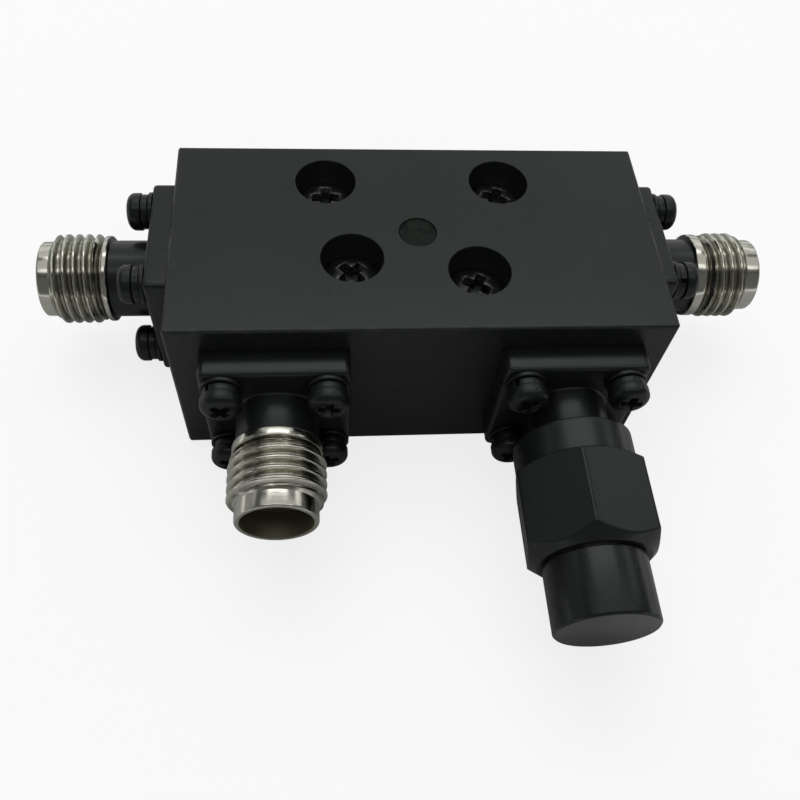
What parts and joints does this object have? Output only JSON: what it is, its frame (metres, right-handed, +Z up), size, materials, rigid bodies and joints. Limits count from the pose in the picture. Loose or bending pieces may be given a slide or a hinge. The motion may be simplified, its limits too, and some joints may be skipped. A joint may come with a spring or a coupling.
{
  "type": "directional coupler",
  "caption": "Black metal block with threaded coaxial ports on its ends and front; a hexagonal screwed-on load closes one front port.",
  "frame": {"origin": "middle of the block's bottom face", "axes": "+X along the through line to the right, -Y out of the front face with the side ports, +Z up"},
  "size_m": [0.0524, 0.0338, 0.0134],
  "materials": {
    "housing_paint": "smooth black paint, half gloss",
    "base_paint": "smooth black paint, half gloss",
    "board": "pale glass-filled laminate",
    "line_copper": "rolled copper strip",
    "cover_screw": "black-finished steel",
    "tuning_brass": "turned brass",
    "lacquer": "dark green sealing lacquer",
    "shell": "turned steel, black paint from the flange to the shoulder ring",
    "contact": "gold-plated",
    "bead": "off-white insulator",
    "flat_washer": "painted over with the flange",
    "spring_washer": "painted over with the flange",
    "port_screw": "painted over with the flange",
    "load_nut_paint": "smooth black paint, half gloss",
    "load_cap_paint": "smooth black paint, half gloss",
    "load_steel": "turned steel",
    "retainer": "spring bronze",
    "gasket": "silicone",
    "resistor": "ceramic tube"
  },
  "bodies": {
    "root": {"housing": "housing_paint", "base_block": "base_paint", "lower_board": "board", "upper_board": "board", "through_line": "line_copper", "coupled_line": "line_copper", "cover_screws": "cover_screw", "tuning_screw": "tuning_brass", "sealing_lacquer": "lacquer", "load_nut": "load_nut_paint", "load_retainer": "retainer", "load_gasket": "gasket", "load_stem": "load_steel", "load_cap": "load_cap_paint", "load_pin": "contact", "load_bead": "bead", "load_resistor": "resistor", "left_shell": "shell", "left_contact": "contact", "left_bead": "bead", "left_sleeve": "bead", "left_flat_washers": "flat_washer", "left_spring_washers": "spring_washer", "left_screws": "port_screw", "right_shell": "shell", "right_contact": "contact", "right_bead": "bead", "right_sleeve": "bead", "right_flat_washers": "flat_washer", "right_spring_washers": "spring_washer", "right_screws": "port_screw", "coupled_shell": "shell", "coupled_contact": "contact", "coupled_bead": "bead", "coupled_sleeve": "bead", "coupled_flat_washers": "flat_washer", "coupled_spring_washers": "spring_washer", "coupled_screws": "port_screw", "isolated_shell": "shell", "isolated_contact": "contact", "isolated_bead": "bead", "isolated_sleeve": "bead", "isolated_flat_washers": "flat_washer", "isolated_spring_washers": "spring_washer", "isolated_screws": "port_screw"}
  },
  "joints": []
}
